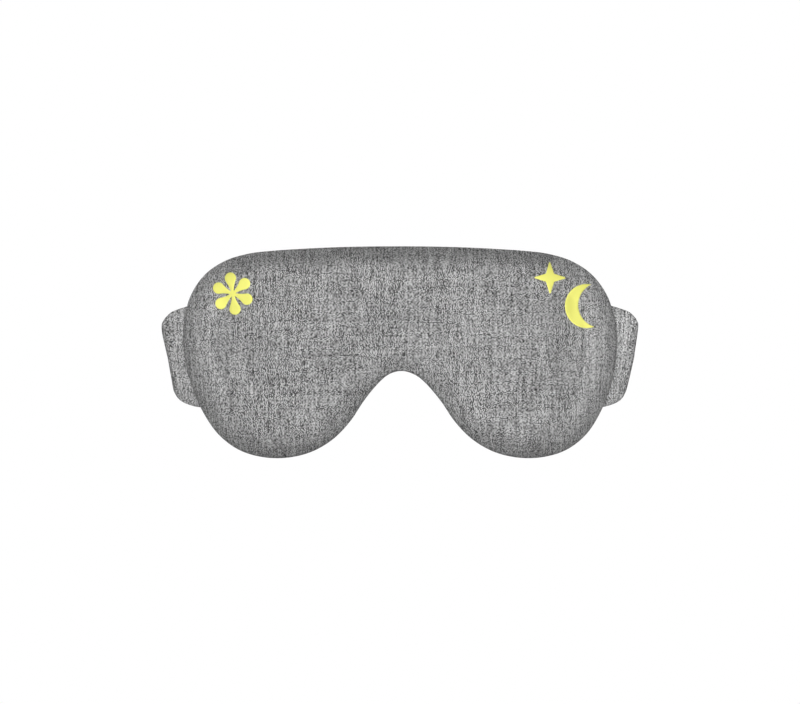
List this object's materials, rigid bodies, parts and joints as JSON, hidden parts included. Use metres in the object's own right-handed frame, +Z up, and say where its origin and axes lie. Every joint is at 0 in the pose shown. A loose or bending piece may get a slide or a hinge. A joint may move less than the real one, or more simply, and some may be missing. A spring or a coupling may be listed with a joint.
{
  "type": "sleep eye mask",
  "caption": "Padded goggle-shaped sleep eye mask in heather cloth with moulded eye cavities, wide padded side straps, elastic and a hook-and-loop closure behind the head.",
  "frame": {"origin": "middle of the wearer's side of the back lining, level with the middle of the mask", "axes": "+X to the right seen from the front, -Y the way the mask's front faces, +Y towards the back of the head, +Z up"},
  "size_m": [0.2424, 0.1614, 0.1056],
  "materials": {
    "heather_cloth": "matte heather grey melange weave with fine vertical yarn streaks",
    "lining_cloth": "soft matte brushed jersey, charcoal",
    "foam": "open-cell foam, light",
    "blackout_film": "dense black light-blocking cloth",
    "yellow_print": "flat pale yellow heat-transfer film, satin",
    "label_tape": "blank white woven satin tape",
    "thread": "grey polyester thread",
    "elastic_webbing": "ribbed knitted elastic, charcoal",
    "loop_fleece": "fuzzy loop pile, dark grey",
    "hook_tape": "moulded nylon hook tape, near black"
  },
  "bodies": {
    "mask": {"front_cover": "heather_cloth", "foam_core": "foam", "blackout_liner": "blackout_film", "back_lining": "lining_cloth", "motif_flower": "yellow_print", "motif_star": "yellow_print", "motif_moon": "yellow_print", "care_label": "label_tape", "left_root_cover": "heather_cloth", "left_root_foam": "foam", "left_root_lining": "lining_cloth", "left_anchor_stitching": "thread", "right_root_cover": "heather_cloth", "right_root_foam": "foam", "right_root_lining": "lining_cloth", "right_anchor_stitching": "thread"},
    "left_wing": {"left_wing_cover": "heather_cloth", "left_wing_foam": "foam", "left_wing_lining": "lining_cloth"},
    "left_tail": {"left_tail_cover": "heather_cloth", "left_tail_foam": "foam", "left_tail_lining": "lining_cloth", "loop_patch": "loop_fleece"},
    "right_wing": {"right_wing_cover": "heather_cloth", "right_wing_foam": "foam", "right_wing_lining": "lining_cloth"},
    "right_band": {"right_elastic": "elastic_webbing"},
    "tab_base": {"tab_root": "heather_cloth"},
    "pull_tab": {"hook_tab": "heather_cloth", "hook_patch": "hook_tape"}
  },
  "joints": [
    {"name": "left_wing_swing", "type": "hinge", "parent": "mask", "child": "left_wing", "pos_m": [-0.1156, 0.0264, -0.0028], "axis": [-0.1702, 0, 0.9854], "range_deg": [-20, 0]},
    {"name": "left_tail_bend", "type": "hinge", "parent": "left_wing", "child": "left_tail", "pos_m": [-0.10355, 0.09738, 0.00194], "axis": [-0.0924, 0, 0.9957], "range_deg": [-15, 0]},
    {"name": "right_wing_swing", "type": "hinge", "parent": "mask", "child": "right_wing", "pos_m": [0.1156, 0.0264, -0.0028], "axis": [-0.1702, 0, -0.9854], "range_deg": [0, 60]},
    {"name": "right_band_bend", "type": "hinge", "parent": "right_wing", "child": "right_band", "pos_m": [0.10369, 0.0976, 0.00194], "axis": [-0.0924, 0, -0.9957], "range_deg": [0, 70]},
    {"name": "elastic_stretch", "type": "slide", "parent": "right_band", "child": "tab_base", "axis": [-1, 0, 0], "range_m": [0, 0.02], "stiffness_N_per_m": 150, "deforming": ["right_elastic"]},
    {"name": "hook_tab_peel", "type": "hinge", "parent": "tab_base", "child": "pull_tab", "pos_m": [0.0335, 0.14505, 0], "axis": [0, 0, -1], "range_deg": [0, 110]}
  ]
}
